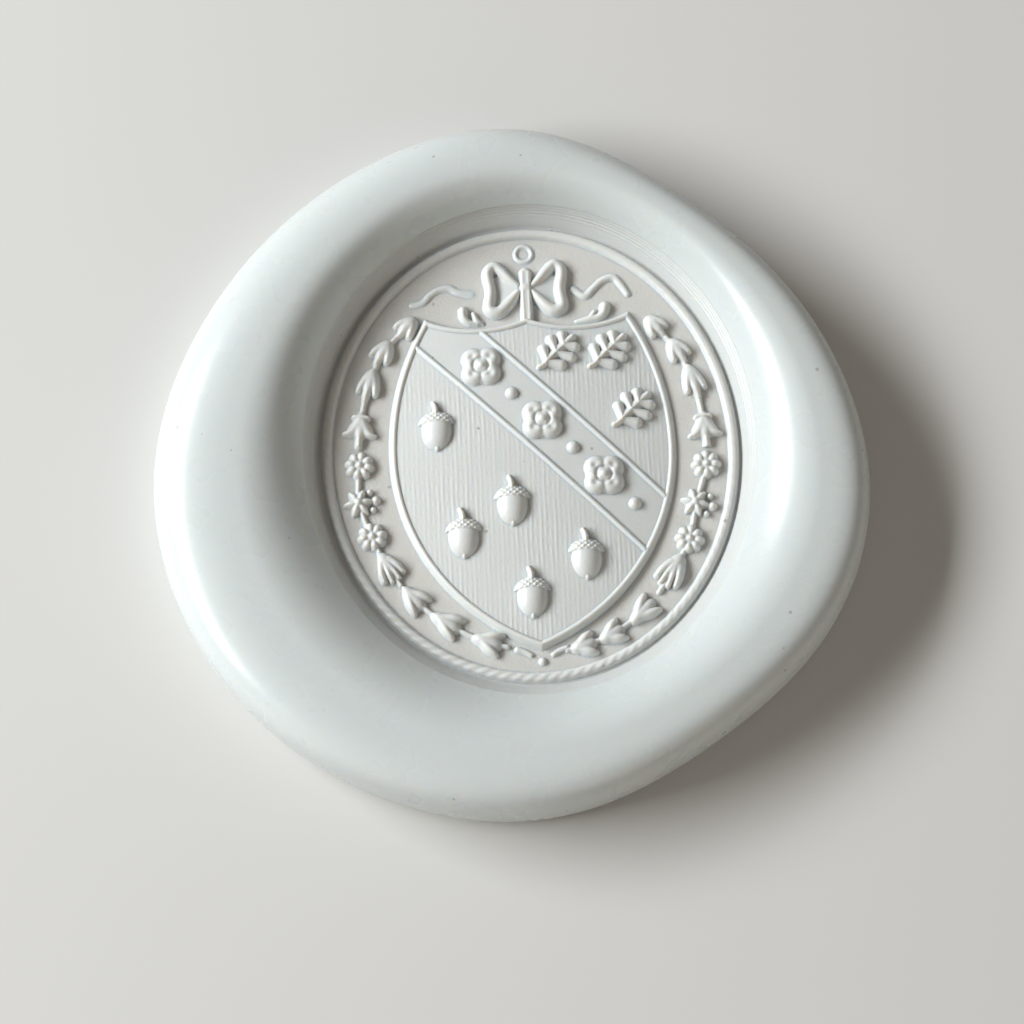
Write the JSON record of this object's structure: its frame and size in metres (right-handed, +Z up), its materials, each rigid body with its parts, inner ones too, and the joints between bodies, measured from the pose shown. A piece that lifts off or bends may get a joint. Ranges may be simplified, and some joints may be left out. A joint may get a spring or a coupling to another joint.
{
  "type": "wax seal",
  "caption": "Poured wax seal with a rounded rim and a pressed oval well that holds a rope border, a ribbon bow, flower garlands and a domed shield in relief.",
  "frame": {"origin": "on the flat underside, below the centre of the pressed oval", "axes": "+Z up out of the pressed face, +Y along the oval's long axis toward the bow, +X to the right as the device is read"},
  "size_m": [0.0387, 0.0395, 0.0047],
  "materials": {
    "wax": "pale grey sealing wax, satin with a soft translucency"
  },
  "bodies": {
    "root": {"wax_body": "wax", "rope_border": "wax", "shield_field": "wax", "shield_outline": "wax", "bend_lines": "wax", "bend_quatrefoils": "wax", "bend_studs": "wax", "oak_leaves": "wax", "acorns": "wax", "right_upper_husks": "wax", "left_upper_husks": "wax", "right_flowers": "wax", "left_flowers": "wax", "right_fan_husk": "wax", "left_fan_husk": "wax", "right_lower_husks": "wax", "left_lower_husks": "wax", "right_stem": "wax", "left_stem": "wax", "right_ribbon_tail": "wax", "left_ribbon_tail": "wax", "right_ribbon_curl": "wax", "left_ribbon_curl": "wax", "bottom_bead": "wax", "right_bow_loop": "wax", "left_bow_loop": "wax", "bow_strap": "wax", "hanging_ring": "wax"}
  },
  "joints": []
}
